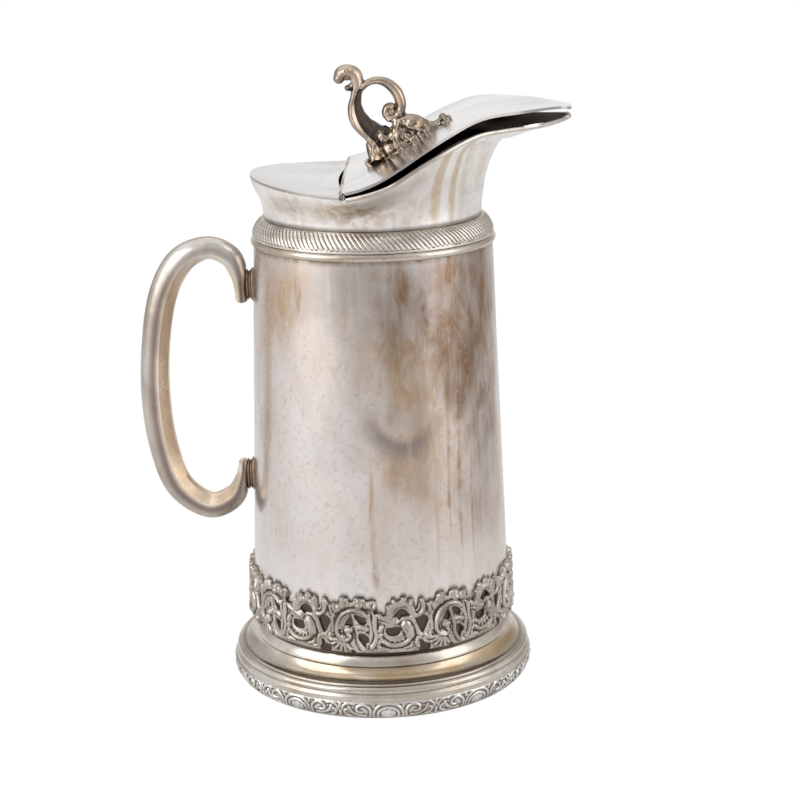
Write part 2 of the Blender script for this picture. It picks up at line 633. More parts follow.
large_scroll = [
    (
        [
            (5.7, 48), (3.6, 49.9), (0, 50.6), (-3.4, 49.2), (-5.6, 46.4), (-6.8, 42.6), (-6.6, 39),
            (-5, 36.6), (-2.6, 36), (-1.2, 37.4), (-1.8, 38.8),
        ],
        1.05, 3.3,
    ),
    ([(4.8, 47.4), (2.5, 48.9), (-0.5, 49.3), (-3.2, 47.6), (-5, 44.8), (-5.9, 41.6)], 1.1, 2.2),
    ([(-2.6, 40.6), (-1.2, 40.9)], 1.5, 3.0),
    ([(-6.9, 50.5), (-4.6, 52.4), (-1.6, 53.3), (1.6, 53.5), (5, 53.1), (8, 52.3), (9.6, 52.6)], 1.9, 2.3),
    ([(-4.4, 52.4), (-4.2, 55)], 1.7, 3.1),
    ([(2.6, 52.6), (2.8, 54.8)], 2.0, 3.1),
    ([(2.6, 53), (3.4, 53)], 1.3, 3.5),
    ([(7, 52.6), (7.3, 54)], 1.3, 3.0),
    ([(9.3, 52), (9.5, 52.8)], 1.2, 3.0),
    ([(-7.4, 49.6), (-8.2, 51.9)], 1.2, 2.7),
    ([(-9.2, 48.6), (-9.8, 51.6)], 1.0, 2.5),
    ([(-8.3, 48), (-9, 45.5), (-8.6, 42.5), (-8.4, 40)], 1.0, 2.2),
    (
        [
            (0.1, 48.4), (0.7, 45), (1.3, 42.4), (1.9, 40), (2.1, 37.5), (2.4, 35.2), (3.4, 32.8),
            (4.4, 31.3),
        ],
        0.9, 2.6,
    ),
    ([(2.2, 42.4), (4.2, 42.4), (6, 41.6)], 1.3, 2.8),
    ([(3, 40.6), (4.8, 40.2)], 1.2, 2.2),
    ([(-4.0, 36.2), (-9.6, 35.6)], 0.95, 2.7),
    ([(-4.0, 36.2), (-8.9, 33.6)], 0.95, 2.6),
    ([(-4.0, 36.2), (-7.3, 31.8)], 0.95, 2.7),
    ([(-4.0, 36.2), (-5.2, 30.9)], 0.95, 2.6),
    ([(-4.0, 36.2), (-2.9, 30.6)], 0.95, 2.7),
    ([(-4.0, 36.2), (-1.2, 31.6)], 0.95, 2.6),
    ([(-4.4, 37), (-3.2, 36.6)], 1.6, 3.0),
    ([(6.6, 48.2), (7.2, 45.2), (7.9, 42), (7.8, 38.6), (7.2, 36)], 1.1, 2.6),
    ([(9.4, 48.4), (9.2, 45.2), (9.4, 42), (10, 38.4), (9.2, 35), (8, 32.6)], 1.25, 2.9),
    ([(7.2, 34.6), (8.4, 32.2), (10.2, 31.6)], 1.0, 2.0),
    ([(5, 31.2), (8, 31), (11.4, 31.2)], 0.9, 1.8),
    ([(-10, 37.6), (-9, 35.4)], 1.0, 2.0),
]
small_top = [
    (-10.6, 49), (-9.4, 48.9), (-8.2, 47.9), (-7.6, 47.9), (-7.3, 50), (-7.1, 52.2), (-6.2, 52.9),
    (-5.2, 53.3), (-4.9, 54.8), (-3.8, 55.8), (-2.8, 55.1), (-2.2, 54.6), (-1.1, 54.9), (-0.6, 56.1),
    (0.8, 56.6), (1.8, 56), (2.3, 54.8), (3.3, 55.4), (4.5, 55), (5.2, 53.6), (5.4, 51.5), (5.7, 50),
    (6.2, 50.3), (6.8, 52), (7, 53.8), (7.8, 55), (9, 55), (9.9, 53.8), (10.6, 52.4),
]
small_openings = [
    [
        (-4.2, 46.8), (-3.2, 49), (-1.7, 50.5), (-0.2, 50.9), (1.3, 50.2), (2.6, 48.5), (3.1, 47.2),
        (-0.2, 47), (-1.2, 45.3), (-2, 45.8), (-2.7, 46.8),
    ],
    [(-7.2, 42), (-1.7, 42.3), (-0.9, 41), (-1, 39.3), (-2.2, 38), (-4.7, 37.7), (-6.7, 38.5), (-7.5, 40)],
    [(5.3, 45.5), (9.3, 47), (11.3, 44.3), (9.8, 40), (8.2, 38.2), (6.6, 41.5)],
    [(6.8, 35), (8, 35.3), (9.3, 33.5), (11.8, 32.5), (11.3, 29.6), (6.6, 29.6), (7.1, 32.5)],
]
small_scroll = [
    ([(-5.6, 47.6), (-5.2, 50), (-3.4, 52.4), (-0.4, 53.2), (2.6, 52.3), (4, 49.6), (4.1, 46.6)], 1.6, 2.6),
    ([(-6.3, 48.8), (-6.1, 51.6)], 1.15, 3.0),
    ([(-3.9, 52.8), (-3.8, 54.8)], 1.1, 3.1),
    ([(-1.7, 53.2), (-1.6, 53.9)], 1.0, 2.7),
    ([(0.6, 53.4), (0.7, 55.3)], 1.4, 3.2),
    ([(3.4, 52.6), (3.7, 54.4)], 1.15, 3.0),
    ([(8.4, 54), (8.9, 51.6), (8.4, 49), (6.7, 47.4), (5, 47.6), (4.4, 49.2)], 1.15, 3.0),
    ([(1.3, 43.4), (2.4, 41), (2.8, 38.2)], 2.2, 3.5),
    ([(2.6, 39.6), (2.9, 37.6), (1.8, 35.4), (-0.6, 34), (-3.4, 33.5), (-6, 34), (-8, 35.4)], 1.15, 3.2),
    ([(-0.2, 43), (0.2, 41.4), (1.2, 39.6)], 1.0, 3.3),
    ([(0.1, 42.7), (0.5, 42.7)], 1.3, 3.5),
    ([(2.0, 43.2), (2.4, 43.2)], 1.1, 3.5),
    ([(0.4, 46.2), (2.6, 46.4), (4.6, 44.4)], 1.2, 2.4),
    ([(-9.2, 42.4), (-9.6, 41)], 1.3, 3.1),
    ([(-9.6, 39), (-9.7, 38.2)], 1.3, 2.9),
    ([(-9.4, 36.2), (-10.2, 35.2)], 1.3, 2.7),
    ([(-10.6, 33.6), (-9.6, 31.4)], 1.2, 2.4),
    ([(-9.6, 47.4), (-7.2, 46.4), (-4.8, 45.2), (-2.8, 44.4)], 1.5, 2.3),
    ([(-8.4, 44.6), (-5.6, 43.8), (-3, 43.6)], 1.0, 1.9),
    ([(-3.4, 44.6), (-3.0, 44.6)], 1.2, 2.6),
    ([(-6.6, 37.4), (-4.2, 36.2), (-1.6, 36), (0.4, 37)], 1.3, 1.8),
    ([(4.6, 45), (5.4, 42), (6.4, 39.4), (7.2, 37.2)], 1.3, 2.0),
    ([(6, 36.2), (5.6, 33.8), (6.4, 32)], 0.9, 2.5),
    ([(8.6, 38), (10, 36.6), (11.4, 36)], 1.2, 2.0),
    ([(-8.8, 32), (-6.6, 31.4)], 1.1, 2.1),
    ([(-4.6, 31.6), (-2, 31.4)], 0.8, 1.9),
    ([(0.6, 31.9), (3, 32.6)], 0.8, 2.1),
    ([(3.6, 31.2), (5.2, 31.6)], 0.8, 1.9),
]
small_beads = [(-5.6, 35.8), (-3.6, 35.2), (-1.6, 35.3), (0.2, 36)]
small_scroll += [([(x - 0.1, z), (x + 0.1, z)], 0.55, 2.2) for x, z in small_beads]
band_thickness = 1.35
ridge_share = 0.92
ridge_spread = 1.28
rim_kept = 0.3
band = Relief(64.8, 29.0, 57.5, 0.28, plate=band_thickness)
units_round = 17
middle_unit = -11.0
gap_below = np.array([(-11.5, 27.0), (-11.5, 29.7), (11.5, 29.7), (11.5, 27.0), (-11.5, 27.0)])
for i in range(-(units_round // 2), units_round // 2 + 1):
    at = middle_unit + i * 360 / units_round
    large = i % 2 == 0
    for line, width, top in large_scroll if large else small_scroll:
        band.raise_line(at, line, width * ridge_spread, top * ridge_share)
    above = curve_through(large_top if large else small_top, 4)
    band.pierce(at, np.vstack([above, (11.5, 60.0), (-11.5, 60.0), above[0]]))
    band.pierce(at, gap_below)
    for opening in large_openings if large else small_openings:
        band.pierce(at, curve_through([*opening, opening[0]], 4), rim_kept)
band.soften()
round_body = band.across[:, None]
ripple = np.sin(round_body * 2.3 + band.up * 1.7) * np.sin(round_body * 0.9 - band.up * 2.3)
ripple_depth = 0.06
cast_height = band.height + ripple_depth * ripple
edge_height = 0.6
round_over = 0.75
rounding = np.sqrt(1 - (1 - np.clip(band.solid / round_over, 0, 1)) ** 2)
cast_height = edge_height + (cast_height - edge_height) * rounding
slope_round, slope_up = np.gradient(band.solid, band.degree * 360 / band.columns, band.up[1] - band.up[0])
steep = np.maximum(slope_round**2 + slope_up**2, 0.3)
outside = np.where(band.solid < 0, -band.solid, 0)
degrees = round_body + outside * slope_round / steep / band.degree
levels = band.up[None, :] + outside * slope_up / steep
solder_gap = 0.05
back_radius = body_radius_at(levels) + solder_gap
front = ring_points(degrees, back_radius + cast_height, levels)
back = ring_points(degrees, back_radius, levels)
metal = (band.solid > 0).reshape(-1)
quads = np.array(grid_faces(band.columns, len(band.up), closed_rows=False))
quads = quads[metal[quads].sum(1) >= 2]
sides = np.concatenate([quads[:, [k, (k + 1) % 4]] for k in range(4)])
_, first_seen, uses = np.unique(np.sort(sides, 1), axis=0, return_index=True, return_counts=True)
edge = sides[first_seen[uses == 1]]
far = len(front)
walls = np.stack([edge[:, 1], edge[:, 0], edge[:, 0] + far, edge[:, 1] + far], 1)
faces = np.vstack([quads, quads[:, ::-1] + far, walls])
used, faces = np.unique(faces, return_inverse=True)
openwork = make(
    "openwork",
    np.vstack([front, back])[used],
    faces.reshape(-1, 4).tolist(),
    "jug",
    "chased_silver",
    band_plate,
    ["openwork_band"],
    crease=60,
)
mark_hollows(openwork, reach=8, scale=0.26)

# Black tarnish on the body where the band's openings show it, and in a thin line along the lobes.
# It is what polishing leaves behind in the corner between the cast band and the tube.
reach_of_line, fade_out = 2.0, 1.6
top_edge = np.where(band.solid > 0, band.up, 0).max(1)
spots = np.zeros(len(body.data.vertices) * 3)
body.data.vertices.foreach_get("co", spots)
x, y, z = spots.reshape(-1, 3).T / mm
place = np.degrees(np.arctan2(x, -y)) % 360
over_edge = z - np.interp(place, np.append(band.across, 360), np.append(top_edge, top_edge[0]))
beside_band = 1 - np.clip(over_edge / reach_of_line, 0, 1) ** fade_out
record = body.data.attributes.new("beside_band", "FLOAT", "POINT")
record.data.foreach_set("value", beside_band.astype(np.float32))

# Half-round ring at the shoulder: a plain drawn wire, soldered where the body starts to round.
# Polish has reached its crown, and a brown line is left on both sides.
ring_plate = plated(
    "ring_plate",
    bright=(0.66, 0.61, 0.55, 1),
    dull=(0.50, 0.43, 0.36, 1),
    stain=(0.28, 0.19, 0.12, 1),
    rough=0.22,
    streak=0.6,
)
ring_outline = bend((55.6, 211.15), (57.3, 213.2), (55.6, 215.25), 16)
ring_outline += [(55.6, 215.25), (54.6, 215.2), (54.8, 211.3)]
make("shoulder_wire", *lathe(ring_outline), "jug", "foot_silver", ring_plate, ["shoulder_ring"])

# Gadroon band over the shoulder: slanting flutes chased into a convex strip.
# The furrows are thin and dark, and the strip has a plain fillet along its foot.
gadroon_plate = chased(
    "gadroon_plate",
    bright=(0.70, 0.66, 0.61, 1),
    dull=(0.49, 0.44, 0.385, 1),
    dark=(0.12, 0.09, 0.07, 1),
    rough=0.3,
    grip=(0.42, 0.72),
)
flutes = 144
steps_per_flute = 9
flute_depth = 0.5
slant = 7.5
rows = 34
profile = np.array(bend((56.3, 215.25), (55.2, 220.0), (51.4, 223.95), rows - 1) + [(51.4, 223.95)])
columns = flutes * steps_per_flute
round_jug = np.linspace(0, 360, columns, endpoint=False)[:, None]
rise_share = np.linspace(0, 1, rows)[None, :]
phase = (flutes * (round_jug + slant * rise_share) / 360) % 1.0
swell = np.sqrt(np.clip(1 - (2 * phase - 1) ** 2, 0, 1))
plain_foot, plain_top = 0.12, 0.95
fluted = np.clip((rise_share - plain_foot) / 0.07, 0, 1) * np.clip((plain_top - rise_share) / 0.06, 0, 1)
turned = np.radians(round_jug)
uneven = 0.10 * np.sin(turned * 31 + 2 * rise_share) + 0.06 * np.sin(turned * 47)
strip_proud, furrow_share = 0.05, 0.6
push = strip_proud + fluted * (flute_depth * swell - (furrow_share + uneven) * flute_depth)
body_arc = np.array(bend(*shoulder_arc, 30) + [shoulder_arc[-1]])
back_z = np.linspace(223.9, 215.3, 8)
back_r = np.interp(back_z, body_arc[:, 1], body_arc[:, 0]) + 0.02
reach = np.hstack([profile[:, 0] + push, np.tile(back_r, (columns, 1))])
levels = np.hstack([profile[:, 1] + 0.3 * push, np.tile(back_z, (columns, 1))])
gadroons = make(
    "gadroons",
    ring_points(round_jug, reach, levels),
    grid_faces(columns, rows + len(back_z)),
    "jug",
    "chased_silver",
    gadroon_plate,
    ["gadroon_band"],
    crease=80,
)
mark_hollows(gadroons, reach=3, scale=1.1)

# Collar: sheet raised by hammer from the round neck out into the long spout, then polished.
# The lip lies almost flat. Brown tarnish runs down from the rim, and the inside is dark brown.
collar_plate = Finish("collar_plate", Metallic=1.0)
marks = Tarnish(collar_plate, 0.35)
runs = Tarnish(collar_plate, 0.08)
clouds = collar_plate.rise(collar_plate.noise(30, detail=6, distortion=0.8), 0.36, 0.66)
upright = collar_plate.rise(collar_plate.noise(120, stretch=(1, 1, 0.08), detail=4), 0.46, 0.7)
grain = collar_plate.noise(700, detail=5)
mottle = collar_plate.rise(collar_plate.noise(260, detail=9, distortion=0.3), 0.4, 0.62)
collar_clean = (0.86, 0.84, 0.82, 1)
collar_warm = (0.62, 0.56, 0.50, 1)
collar_mauve = (0.47, 0.41, 0.40, 1)
collar_golden = (0.44, 0.30, 0.18, 1)
run_golden = (0.50, 0.38, 0.23, 1)
collar_joint = (0.13, 0.10, 0.08, 1)
collar_speck = (0.46, 0.40, 0.34, 1)
colour = collar_plate.blend(clouds * 0.25 + mottle * 0.25, collar_clean, collar_warm)
colour = marks.stain(colour, [(30, 238, 40, 14, 0.35), (-30, 230, 26, 9, 0.15)], collar_mauve)
golden_clouds = [(-8, 232, 26, 8, 0.6), (22, 233, 16, 10, 0.3), (-40, 232, 8, 12, 0.3)]
colour = marks.stain(colour, golden_clouds, collar_golden, 0.3 + mottle * 0.7)
rim_runs = [(34, 246, 4.2, 34, 0.8), (45, 250, 3.4, 34, 0.8), (53, 246, 4, 26, 0.35), (70, 250, 8, 20, 0.25)]
colour = runs.stain(colour, rim_runs, run_golden, 0.8 + mottle * 0.2)
foot_line = 1.0 - collar_plate.rise(collar_plate.axis("Z") + marks.wander * 0.003, 224.4 * mm, 226.6 * mm)
colour = collar_plate.blend(foot_line * 0.8, colour, collar_joint)
colour = collar_plate.blend(collar_plate.rise(grain, 0.52, 0.8) * 0.16, colour, collar_speck)


def facing(finish, toward):
    """1 where the surface faces the way of an object-space direction, 0 where it faces away."""
    normal = finish.node("ShaderNodeTexCoord", {}, {}, "Normal")
    agreement = finish.node(
        "ShaderNodeVectorMath", {"operation": "DOT_PRODUCT"}, {0: normal, 1: toward}, "Value",
    )
    return finish.rise(agreement, -0.004, 0.004)


outward = collar_plate.node(
    "ShaderNodeVectorMath", {"operation": "MULTIPLY"}, {0: collar_plate.place(), 1: (1, 1, 0)}
)
inside_brown = (0.070, 0.039, 0.025, 1)
shown = facing(collar_plate, outward)
collar_plate.cover(
    Base_Color=collar_plate.blend(shown, inside_brown, colour),
    Roughness=0.60 - shown * 0.35 + clouds * 0.08 + (grain - 0.5) * 0.1,
    Metallic=0.4 + shown * 0.6,
)
collar_plate.bump(collar_plate.noise(1300, detail=5), 0.00002, 0.4)
cad_collar = bmesh.new()
cad_collar.from_mesh(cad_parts["collar"].data)
bmesh.ops.remove_doubles(cad_collar, verts=cad_collar.verts, dist=0.001 * mm)
spout_from, spout_above = 28 * mm, 232 * mm
spout_edges = [
    edge
    for edge in cad_collar.edges
    if all(v.co.x > spout_from and v.co.z > spout_above for v in edge.verts)
]
bmesh.ops.subdivide_edges(cad_collar, edges=spout_edges, cuts=3, use_grid_fill=True)
bmesh.ops.triangulate(cad_collar, faces=cad_collar.faces)
points = np.array([v.co for v in cad_collar.verts])
faces = [tuple(v.index for v in face.verts) for face in cad_collar.faces]
cad_collar.free()
reach = np.hypot(points[:, 0], points[:, 1])
sides_from = 0.55
to_spout = np.clip((points[:, 0] / reach - sides_from) / (1 - sides_from), 0, 1)
to_spout = to_spout**2 * (3 - 2 * to_spout)
under_lip = [236, 245, 251.5, 256, 259.0, 260.2, 261.4, 262.8]
drawn_in = np.interp(points[:, 2] / mm, under_lip, [0, 1.5, 3.5, 5.8, 7.4, 5.4, 1.6, 0]) * to_spout
points[:, :2] *= (1 - drawn_in * mm / reach)[:, None]
make("raised_collar", points, faces, "jug", "silver_plate", collar_plate, ["collar"], crease=50)

# Wire along the open part of the rim: round silver wire that stiffens the edge of the spout.
# It is soldered on the collar's edge, from one end of the hinge round the tip to the other.
wire_plate = plated(
    "wire_plate",
    bright=(0.62, 0.575, 0.52, 1),
    dull=(0.42, 0.365, 0.31, 1),
    stain=(0.20, 0.15, 0.11, 1),
    rough=0.26,
)
wire_radius = 1.15
wire_inset = 0.46


def bar_faces(rings, sides):
    """Faces of a bar of rings with one flat face at each end."""
    faces = grid_faces(rings, sides, closed_columns=False)
    return faces + [tuple(range(sides)), tuple(range((rings - 1) * sides, rings * sides))]


mouth_back = [(15 - 71.5 * math.sin(t), 64 * math.cos(t)) for t in (0.355, 0.28, 0.2, 0.1)]
mouth_front = [
    (15.0, 64.0), (27.0, 61.0), (38.0, 54.8), (57.0, 41.0), (77.0, 23.2), (88.0, 10.3), (92.0, 0.0),
]
far_side = mouth_back + mouth_front
near_side = [(x, -y) for x, y in reversed(far_side[:-1])]
plan = curve_through(far_side + near_side, 12)
rim_heights = [
    (-16, 241.0), (-9, 241.4), (7.8, 246.4), (25.4, 256.5), (45.9, 265.6), (60, 267.3), (77.7, 267.4),
    (92, 269.2),
]
rim_side_view = curve_through(rim_heights, 12)
along = np.gradient(plan, axis=0)
along /= np.linalg.norm(along, axis=1)[:, None]
outward_x, outward_y = along[:, 1], -along[:, 0]
sense = np.sign((outward_x * plan[:, 0] + outward_y * plan[:, 1]).sum())
centre_x = plan[:, 0] - sense * wire_inset * outward_x
centre_y = plan[:, 1] - sense * wire_inset * outward_y
centre_z = np.interp(plan[:, 0], rim_side_view[:, 0], rim_side_view[:, 1]) - wire_radius
wire_sides = 16
turn = np.linspace(0, 2 * math.pi, wire_sides, endpoint=False)[None, :]
out, lift = wire_radius * np.cos(turn), wire_radius * np.sin(turn)
points = np.stack(
    [
        centre_x[:, None] + sense * outward_x[:, None] * out,
        centre_y[:, None] + sense * outward_y[:, None] * out,
        centre_z[:, None] + lift,
    ],
    -1,
).reshape(-1, 3)
faces = bar_faces(len(plan), wire_sides)
make("rim_wire_round", points * mm, faces, "jug", "silver_plate", wire_plate, ["rim_wire"], crease=60)

# Lid and rear cover: sheet bent in a long S, cut to the outline of the mouth and polished.
# The rear half is soldered to the collar, and the front half swings on the hinge between them.
lid_plate = plated(
    "lid_plate",
    bright=(0.76, 0.76, 0.76, 1),
    dull=(0.64, 0.64, 0.65, 1),
    stain=(0.46, 0.42, 0.38, 1),
    stain_share=0.12,
    rough=0.16,
    streak=0.1,
)
cover_plate = plated(
    "cover_plate",
    bright=(0.76, 0.76, 0.77, 1),
    dull=(0.66, 0.65, 0.64, 1),
    stain=(0.44, 0.33, 0.25, 1),
    stain_share=0.2,
    rough=0.22,
    streak=0.2,
)
for node, finish in (("lid", lid_plate), ("rear_cover", cover_plate)):
    upper = facing(finish, (0, 0, 0.05))
    finish.cover(
        Base_Color=finish.blend(upper, inside_brown, finish.base_colour()), Metallic=0.4 + upper * 0.6,
    )
    dress(node, finish)

# Hinge: three lengths of drawn silver tube across the jug on one steel pin, soldered to cover and lid.
# The ends of the tubes are countersunk, and the ends of the pin are riveted over inside them.
hinge_plate = plated(
    "hinge_plate",
    bright=(0.62, 0.58, 0.53, 1),
    dull=(0.42, 0.36, 0.30, 1),
    stain=(0.17, 0.12, 0.09, 1),
    rough=0.26,
)
hinge_x, hinge_z = -12.0, 241.2
tube_radius, bore, pin_radius = 1.6, 0.88, 0.8


def across_jug(outline, turns=32):
    """A closed outline of (Y, radius), turned about the hinge's axis."""
    y, r = np.array(outline).T
    angle = np.linspace(0, 2 * math.pi, turns, endpoint=False)[:, None]
    points = np.stack([hinge_x + r * np.sin(angle), y + 0 * angle, hinge_z + r * np.cos(angle)], -1)
    return points.reshape(-1, 3) * mm, grid_faces(turns, len(outline))


def knuckle(low, high):
    """One length of tube with its ends rounded over and countersunk."""
    outside = [(low, 1.15), (low + 0.1, 1.45), (low + 0.3, tube_radius), (high - 0.3, tube_radius)]
    outside += [(high - 0.1, 1.45), (high, 1.15)]
    return across_jug(outside + [(high - 0.35, bore), (low + 0.35, bore)])


lid_tube = 30.1
tube_end = 60.6
first, faces = knuckle(lid_tube + 0.3, tube_end)
second, other = knuckle(-tube_end, -lid_tube - 0.3)
faces = faces + [tuple(p + len(first) for p in face) for face in other]
make(
    "rear_hinge_tubes", np.vstack([first, second]), faces, "jug", "silver_plate", hinge_plate,
    ["rear_knuckles"],
)
make("lid_hinge_tube", *knuckle(-lid_tube, lid_tube), "lid", "silver_plate", hinge_plate, ["lid_knuckle"])
half_pin = [(-60.1, 0.02), (-60.15, 0.4), (-59.9, 0.72), (-59.7, pin_radius)]
pin_outline = half_pin + [(-y, r) for y, r in reversed(half_pin)]
make("riveted_pin", *across_jug(pin_outline, 24), "jug", "steel", screw_steel, ["hinge_pin"])
dress("finial_rivets", hinge_plate)

# Thumbpiece: solid cast scroll with a curled head, a C-scroll and a leafy root, riveted to the lid.
# The plate is rubbed through to coppery metal, with grey-black tarnish in the hollows.


def tube(points, half_width, half_depth, sides=20, ridges=0, ridge=0.0, y=0.0):
    """A rounded bar along points in side view. Widths may change along it, and ridges run lengthwise."""
    line = curve_through(points, 8)
    count = len(line)
    ends = np.linspace(0, 1, count)
    wide = np.interp(ends, np.linspace(0, 1, len(half_width)), half_width)
    deep = np.interp(ends, np.linspace(0, 1, len(half_depth)), half_depth)
    tip = np.sqrt(np.clip(1 - (np.clip(np.abs(2 * ends - 1), 0.86, 1) - 0.86) ** 2 / 0.14**2, 0.06, 1))
    along = np.gradient(line[:, :2], axis=0)
    along /= np.linalg.norm(along, axis=1)[:, None]
    side = np.linspace(0, 2 * math.pi, sides, endpoint=False)[None, :]
    lobe = 1 + ridge * np.cos(ridges * side)
    out = (wide * tip)[:, None] * np.cos(side) * lobe
    across = (deep * tip)[:, None] * np.sin(side) * lobe
    x = line[:, 0][:, None] + along[:, 1][:, None] * out
    z = line[:, 1][:, None] - along[:, 0][:, None] * out
    centre_y = line[:, 2][:, None] if line.shape[1] > 2 else y
    grid = np.stack([x, across + centre_y, z], -1).reshape(-1, 3)
    faces = grid_faces(count, sides, closed_columns=False)
    first = len(grid)
    caps = [line[0], line[-1]]
    middle = [(c[0], c[2] if len(c) > 2 else y, c[1]) for c in caps]
    grid = np.vstack([grid, middle])
    for j in range(sides):
        faces.append((j, first, (j + 1) % sides))
        last = (count - 1) * sides
        faces.append((last + j, last + (j + 1) % sides, first + 1))
    return grid, faces


stem = [
    (-8.7, 279.2), (-10.1, 274.3), (-10.1, 269.4), (-8.1, 264.4), (-4.6, 260.8), (-1.8, 257.9),
    (-1, 255), (-1.6, 251.5), (-2.8, 248.6),
]
stem_crease = [
    (-2.6, 284.7), (-4.3, 282.3), (-6, 279.2), (-6.7, 275), (-5.8, 269.3), (-2.8, 263.6), (1.4, 258.9),
    (4.5, 254.9),
]
stem_left = curve_through([(-8.4, 284.6), *stem], 8)
stem_right = curve_through([*stem_crease, (6.6, 250.0)], 8)
stem_levels = np.linspace(284.4, 250.2, 12)
left_x, right_x = (np.interp(-stem_levels, -way[:, 1], way[:, 0]) for way in (stem_left, stem_right))
stem_middle = np.stack([(left_x + right_x) / 2, stem_levels], 1)
stem_lean = np.hypot(1, np.gradient(stem_middle[:, 0], stem_levels))
stem_half = (right_x - left_x) / 2 / stem_lean
bars = [
    tube(stem_middle, stem_half, [3.4, 3.5, 3.7, 3.9, 4.2, 4.6, 5.0, 5.4, 5.8, 6.2], 40, 5, 0.07),
    tube(
        [(-5, 279), (-5.4, 275), (-4.4, 270.6), (-1.4, 266.2), (3, 262.8), (7.4, 261.4)],
        [1.2, 1.6, 2.1, 2.6, 3.2, 3.4], [1.6, 1.7, 1.8, 1.9, 2.0, 2.0], 24,
    ),
    tube(
        [(-5.2, 281.5), (-5.7, 285.5), (-6.6, 288.6), (-9.4, 290.2), (-12.6, 289.4), (-14.0, 287.2)],
        [2.6, 3.0, 3.0, 2.9, 3.1, 2.6], [3.4, 3.8, 4.2, 4.6, 4.6, 4.0], 28, 3, 0.05,
    ),
    tube([(-7.0, 284.0), (-8.6, 283.2), (-9.9, 282.2)], [1.8, 1.5, 1.2], [2.6, 2.0, 1.4], 16),
    tube(
        [
            (-4.6, 281.6), (-1.8, 284.2), (1.7, 285.6), (5.5, 285.5), (9.4, 283.6), (12.3, 280.5),
            (13.9, 276.9), (14.3, 273.5), (13.4, 270.3),
        ],
        [1.6, 1.6, 1.65, 1.95, 2.45, 2.65, 2.6, 2.4, 2.4],
        [3.3, 3.3, 3.3, 3.4, 3.5, 3.6, 3.6, 3.5, 3.4], 28, 3, 0.04,
    ),
    tube(
        [
            (13.4, 271.3), (12.9, 269.4), (11.2, 268.4), (8.8, 268.6), (7.1, 270.6), (7.6, 273.2),
            (9.8, 274.1), (11.1, 273.0),
        ],
        [2.3, 2.2, 2.1, 1.9, 1.8, 1.6, 1.5, 1.3], [3.4, 3.5, 3.6, 3.6, 3.5, 3.4, 3.2, 3.0], 24,
    ),
    tube(
        [(13.5, 267.7), (18, 266.5), (22.5, 264.9), (25.5, 262.9)], [2.8, 3.6, 4.0, 3.2],
        [4.6, 5.6, 5.6, 4.8], 28, 6, 0.07,
    ),
    tube(
        [(12.8, 269), (12.4, 264), (12.2, 259.5), (13.4, 254.9)], [2.4, 2.7, 3.0, 2.8],
        [5.0, 5.8, 6.0, 5.6], 28, 8, 0.05,
    ),
    tube(
        [(10.5, 262.5), (14.0, 261.5), (18.0, 260.4), (21.5, 260.4)], [4.2, 5.2, 4.8, 3.4],
        [4.6, 4.9, 4.9, 4.4], 28, 5, 0.07,
    ),
    tube([(0.2, 258), (1.6, 254), (3.4, 249.5)], [2.6, 3.4, 4.2], [4.0, 5.2, 6.2], 42, 7, 0.09),
    tube(
        [(-2.6, 249), (0.6, 246.0), (5, 246.4), (8.6, 248.2), (11, 250.6)], [1.4, 1.6, 1.8, 1.7, 1.5],
        [6.4, 6.8, 6.8, 6.6, 6.4], 28, 9, 0.05,
    ),
    tube([(26.5, 264.2), (30, 265.2), (32.6, 266.6)], [1.8, 1.6, 1.6], [4.4, 4.4, 4.6], 20, 4, 0.07),
    tube([(35.2, 268.8), (36.2, 266.6), (36.5, 264.2)], [1.7, 1.7, 1.6], [4.8, 4.9, 4.8], 20),
    tube(
        [(3, 246.9), (9, 250.4), (15, 255.2), (22, 259.0), (29, 262.4), (36, 264.6)],
        [1.8, 1.9, 2.0, 2.0, 1.8, 1.6], [5.0, 5.0, 4.8, 4.6, 4.6, 4.6], 24,
    ),
]
core = [
    (-2.0, 284.0), (-3.6, 279.8), (-4.2, 275.6), (-2.6, 271.4), (0.9, 267.4), (5.1, 264.8),
    (9.6, 264.0), (11.6, 266.4), (15.5, 269.0), (18.7, 268.9), (21.5, 267.9), (24.0, 266.5),
    (26.4, 265.2), (28.0, 263.7), (36.0, 265.4), (36.0, 264.2), (22.0, 257.0), (9.0, 249.0),
    (0.0, 244.6), (-1.6, 248.6), (0.0, 254.9), (-0.6, 260.0), (-5.0, 266.0), (-8.0, 272.0),
    (-7.2, 279.2), (-5.0, 284.0),
]
core_half_depth = 1.8
ring = len(core)
slab = np.array([(x, y, z) for y in (-core_half_depth, core_half_depth) for x, z in core])
sides = [(i, (i + 1) % ring, ring + (i + 1) % ring, ring + i) for i in range(ring)]
bars.append((slab, sides + [tuple(range(ring)), tuple(range(2 * ring - 1, ring - 1, -1))]))


def lump(x, z, y, length, height, depth):
    """A rounded mass with its middle at (x, y, z)."""
    rings, sides = 12, 20
    across = np.linspace(0.04, math.pi - 0.04, rings)[:, None]
    turn = np.linspace(0, 2 * math.pi, sides, endpoint=False)[None, :]
    round_it = np.sin(across)
    grid = np.stack(
        [
            x + length * round_it * np.cos(turn), y + depth * np.cos(across) + 0 * turn,
            z + height * round_it * np.sin(turn),
        ],
        -1,
    )
    return grid.reshape(-1, 3), bar_faces(rings, sides)


